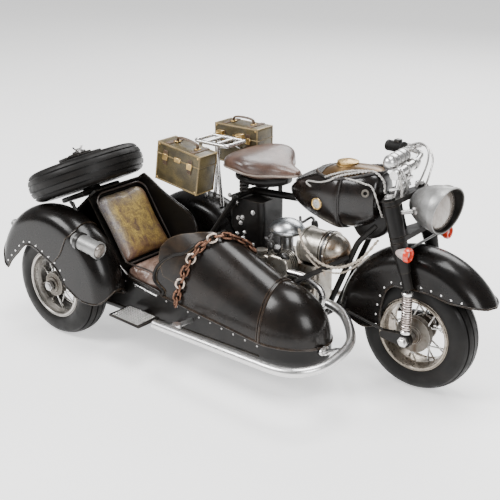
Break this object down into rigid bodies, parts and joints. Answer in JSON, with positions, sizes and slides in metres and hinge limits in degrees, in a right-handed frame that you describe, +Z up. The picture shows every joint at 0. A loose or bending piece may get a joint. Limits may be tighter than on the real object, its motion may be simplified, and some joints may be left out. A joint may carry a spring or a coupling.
{
  "type": "toy motorcycle with sidecar",
  "caption": "Vintage tin display motorcycle with sidecar, spare wheel, luggage cases and bumper bar; steering fork and free-rolling wheels.",
  "frame": {"origin": "centre of the bounding box's bottom face, on the ground between the three tyres", "axes": "+X to the front of the motorcycle along its length, +Y to its left side, away from the sidecar, +Z up"},
  "size_m": [0.3171, 0.1304, 0.1434],
  "materials": {
    "black_rubber": "matte",
    "polished_steel": "polished",
    "brass": "satin",
    "black_enamel": "semi-gloss",
    "bronze_paint": "gloss",
    "cast_metal": "satin",
    "grey_paint": "satin",
    "lamp_glass": "gloss",
    "brown_leather": "satin",
    "olive_leather": "satin",
    "black_grip": "matte",
    "wire": "satin"
  },
  "bodies": {
    "chassis": {"air_cleaner": "cast_metal", "bumper_bar": "polished_steel", "case_handles": "brass", "cowl_chain": "wire", "crankcase": "cast_metal", "cylinder_heads": "cast_metal", "cylinders": "cast_metal", "engine_cover": "cast_metal", "engine_cradle": "black_enamel", "exhaust": "polished_steel", "fuel_tank": "bronze_paint", "left_case": "olive_leather", "loom_wires": "wire", "luggage_rack": "polished_steel", "main_frame": "black_enamel", "marker_lamps": "grey_paint", "nose_cap": "bronze_paint", "rear_axle": "polished_steel", "rear_fender": "bronze_paint", "right_case": "olive_leather", "saddle": "brown_leather", "saddle_springs": "polished_steel", "seat_back": "brown_leather", "seat_cushion": "brown_leather", "side_axle": "polished_steel", "side_box": "black_enamel", "side_fender": "bronze_paint", "sidecar_cowl": "bronze_paint", "sidecar_struts": "black_enamel", "sidecar_tub": "black_enamel", "spare_mount": "polished_steel", "spare_rim": "polished_steel", "spare_tyre": "black_rubber", "step_plate": "black_enamel", "tank_fittings": "brass"},
    "steering": {"control_cables": "wire", "fender_stays": "black_enamel", "fork_legs": "black_enamel", "fork_springs": "polished_steel", "fork_yokes": "black_enamel", "front_axle": "polished_steel", "front_fender": "bronze_paint", "grips": "black_grip", "handlebar": "polished_steel", "headlamp_lens": "lamp_glass", "headlamp_shell": "grey_paint", "instrument_pod": "black_enamel", "turn_signals": "grey_paint"},
    "front_wheel": {"front_hub": "cast_metal", "front_rim": "polished_steel", "front_spokes": "polished_steel", "front_tyre": "black_rubber"},
    "rear_wheel": {"rear_hub": "cast_metal", "rear_rim": "polished_steel", "rear_spokes": "polished_steel", "rear_tyre": "black_rubber"},
    "side_wheel": {"side_hub": "cast_metal", "side_rim": "polished_steel", "side_spokes": "polished_steel", "side_tyre": "black_rubber"}
  },
  "joints": [
    {"name": "steering_turn", "type": "hinge", "parent": "chassis", "child": "steering", "pos_m": [0.092, 0.032, 0.104], "axis": [-0.2874, 0, 0.9578], "range_deg": [-9, 9]},
    {"name": "front_wheel_spin", "type": "hinge", "parent": "steering", "child": "front_wheel", "pos_m": [0.112, 0.032, 0.036], "axis": [0, 1, 0], "continuous": true},
    {"name": "rear_wheel_spin", "type": "hinge", "parent": "chassis", "child": "rear_wheel", "pos_m": [-0.058, 0.032, 0.036], "axis": [0, 1, 0], "continuous": true},
    {"name": "side_wheel_spin", "type": "hinge", "parent": "chassis", "child": "side_wheel", "pos_m": [-0.111, -0.049, 0.036], "axis": [0, 1, 0], "continuous": true}
  ]
}
